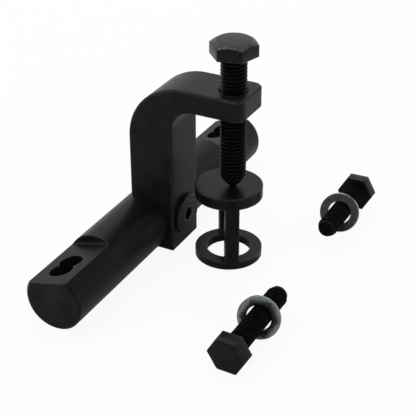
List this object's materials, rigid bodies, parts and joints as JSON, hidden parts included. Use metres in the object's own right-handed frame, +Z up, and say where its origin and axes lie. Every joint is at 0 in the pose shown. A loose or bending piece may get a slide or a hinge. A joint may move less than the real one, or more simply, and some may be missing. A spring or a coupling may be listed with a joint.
{
  "type": "valve spring compressor",
  "caption": "Bolt-on valve spring compressor: round mounting bar with flatted, drilled ends, C-shaped arm, hex-head force screw and open spring cage, with loose bolts and washers.",
  "frame": {"origin": "centre of the spring cage ring's lower face, where the tool meets the valve spring retainer; it lies on the floor that the tool stands on", "axes": "+Z up along the force screw, +X from the C-frame's leg towards the force screw, +Y along the mounting bar, away from the camera of the picture"},
  "size_m": [0.0862, 0.1481, 0.0909],
  "materials": {
    "bar_black_oxide": "black oxide over ground bar, satin",
    "frame_black_oxide": "black oxide over forged and milled steel, satin",
    "screw_black_oxide": "black oxide over a cold-headed screw with rolled thread",
    "cage_black_oxide": "black oxide over turned steel, semi-gloss",
    "bolt_black_oxide": "black oxide, oiled",
    "washer_zinc": "zinc plated, dull"
  },
  "bodies": {
    "tool_frame": {"mounting_bar": "bar_black_oxide", "c_frame": "frame_black_oxide", "frame_screw": "screw_black_oxide"},
    "cage": {"spring_cage": "cage_black_oxide"},
    "screw": {"force_screw": "screw_black_oxide"},
    "front_bolt": {"mounting_bolt_front": "bolt_black_oxide"},
    "front_washer": {"washer_front": "washer_zinc"},
    "rear_bolt": {"mounting_bolt_rear": "bolt_black_oxide"},
    "rear_washer": {"washer_rear": "washer_zinc"}
  },
  "joints": [
    {"name": "cage_feed", "type": "slide", "parent": "tool_frame", "child": "cage", "axis": [0, 0, 1], "range_m": [-0.0125, 0.03]},
    {"name": "force_screw_turn", "type": "hinge", "parent": "cage", "child": "screw", "pos_m": [0.002, -0.00085, 0.058], "axis": [0, 0, 1], "range_deg": [-3025, 7225]},
    {"name": "front_bolt_lift", "type": "slide", "parent": "tool_frame", "child": "front_bolt", "axis": [0, 0, 1], "range_m": [0, 0.05]},
    {"name": "front_washer_slide", "type": "slide", "parent": "front_bolt", "child": "front_washer", "axis": [0.0418, 0.9976, 0.055], "range_m": [-0.015, 0.02]},
    {"name": "rear_bolt_lift", "type": "slide", "parent": "tool_frame", "child": "rear_bolt", "axis": [0, 0, 1], "range_m": [0, 0.05]},
    {"name": "rear_washer_slide", "type": "slide", "parent": "rear_bolt", "child": "rear_washer", "axis": [0.0383, -0.998, 0.0511], "range_m": [-0.015, 0.02]}
  ],
  "couplings": [
    {"joint": "force_screw_turn", "follows": "cage_feed", "rad_per_m": 4188.8}
  ]
}
